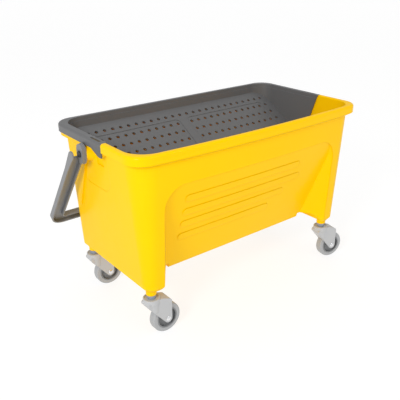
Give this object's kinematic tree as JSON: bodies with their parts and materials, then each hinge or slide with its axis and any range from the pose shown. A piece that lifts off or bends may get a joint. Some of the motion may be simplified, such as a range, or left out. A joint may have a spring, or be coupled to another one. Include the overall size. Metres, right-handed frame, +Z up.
{
  "type": "mop wringing bucket",
  "caption": "Long rectangular wringing bucket for a flat mop, with a perforated press sieve over its back half, a folding bail handle and swivel casters.",
  "frame": {"origin": "on the floor under the middle of the whole object, with the handle folded down behind the tub", "axes": "+X along the bucket's length to the right, -Y the front where the mop is dipped, +Z up"},
  "size_m": [0.636, 0.3309, 0.384],
  "materials": {
    "tub_plastic": "injection-moulded polypropylene, semi-gloss golden yellow",
    "sieve_plastic": "injection-moulded polypropylene, satin mid grey",
    "handle_plastic": "injection-moulded polypropylene, satin grey",
    "pin_plastic": "moulded nylon, dark grey",
    "sleeve_plastic": "moulded acetal bearing sleeve, blue-grey",
    "caster_plastic": "moulded nylon, light grey",
    "caster_tread": "non-marking thermoplastic rubber, grey",
    "steel": "zinc-plated steel"
  },
  "bodies": {
    "tub": {"tub": "tub_plastic", "handle_pin_left": "pin_plastic", "handle_pin_right": "pin_plastic", "caster_front_left_sleeve": "sleeve_plastic", "caster_front_right_sleeve": "sleeve_plastic", "caster_back_left_sleeve": "sleeve_plastic", "caster_back_right_sleeve": "sleeve_plastic"},
    "sieve": {"wringer_sieve": "sieve_plastic"},
    "handle": {"bail_handle": "handle_plastic"},
    "caster_front_left": {"caster_front_left_stem": "steel", "caster_front_left_retainer": "steel", "caster_front_left_yoke": "caster_plastic", "caster_front_left_axle": "steel"},
    "wheel_front_left": {"caster_front_left_hub": "caster_plastic", "caster_front_left_tyre": "caster_tread"},
    "caster_front_right": {"caster_front_right_stem": "steel", "caster_front_right_retainer": "steel", "caster_front_right_yoke": "caster_plastic", "caster_front_right_axle": "steel"},
    "wheel_front_right": {"caster_front_right_hub": "caster_plastic", "caster_front_right_tyre": "caster_tread"},
    "caster_back_left": {"caster_back_left_stem": "steel", "caster_back_left_retainer": "steel", "caster_back_left_yoke": "caster_plastic", "caster_back_left_axle": "steel"},
    "wheel_back_left": {"caster_back_left_hub": "caster_plastic", "caster_back_left_tyre": "caster_tread"},
    "caster_back_right": {"caster_back_right_stem": "steel", "caster_back_right_retainer": "steel", "caster_back_right_yoke": "caster_plastic", "caster_back_right_axle": "steel"},
    "wheel_back_right": {"caster_back_right_hub": "caster_plastic", "caster_back_right_tyre": "caster_tread"}
  },
  "joints": [
    {"name": "sieve_lift", "type": "slide", "parent": "tub", "child": "sieve", "axis": [0, 0, 1], "range_m": [0, 0.16]},
    {"name": "handle_swing", "type": "hinge", "parent": "tub", "child": "handle", "pos_m": [0, 0.019, 0.351], "axis": [1, 0, 0], "range_deg": [0, 270]},
    {"name": "swivel_front_left", "type": "hinge", "parent": "tub", "child": "caster_front_left", "pos_m": [-0.2436, -0.1124, 0.065], "axis": [0, 0, 1], "continuous": true},
    {"name": "roll_front_left", "type": "hinge", "parent": "caster_front_left", "child": "wheel_front_left", "pos_m": [-0.2146, -0.1124, 0.0315], "axis": [0, 1, 0], "continuous": true},
    {"name": "swivel_front_right", "type": "hinge", "parent": "tub", "child": "caster_front_right", "pos_m": [0.2436, -0.1124, 0.065], "axis": [0, 0, 1], "continuous": true},
    {"name": "roll_front_right", "type": "hinge", "parent": "caster_front_right", "child": "wheel_front_right", "pos_m": [0.27197, -0.11843, 0.0315], "axis": [0.2079, 0.9781, 0], "continuous": true},
    {"name": "swivel_back_left", "type": "hinge", "parent": "tub", "child": "caster_back_left", "pos_m": [-0.2436, 0.1124, 0.065], "axis": [0, 0, 1], "continuous": true},
    {"name": "roll_back_left", "type": "hinge", "parent": "caster_back_left", "child": "wheel_back_left", "pos_m": [-0.21462, 0.11139, 0.0315], "axis": [0.0349, 0.9994, 0], "continuous": true},
    {"name": "swivel_back_right", "type": "hinge", "parent": "tub", "child": "caster_back_right", "pos_m": [0.2436, 0.1124, 0.065], "axis": [0, 0, 1], "continuous": true},
    {"name": "roll_back_right", "type": "hinge", "parent": "caster_back_right", "child": "wheel_back_right", "pos_m": [0.27232, 0.10836, 0.0315], "axis": [0.1392, 0.9903, 0], "continuous": true}
  ]
}
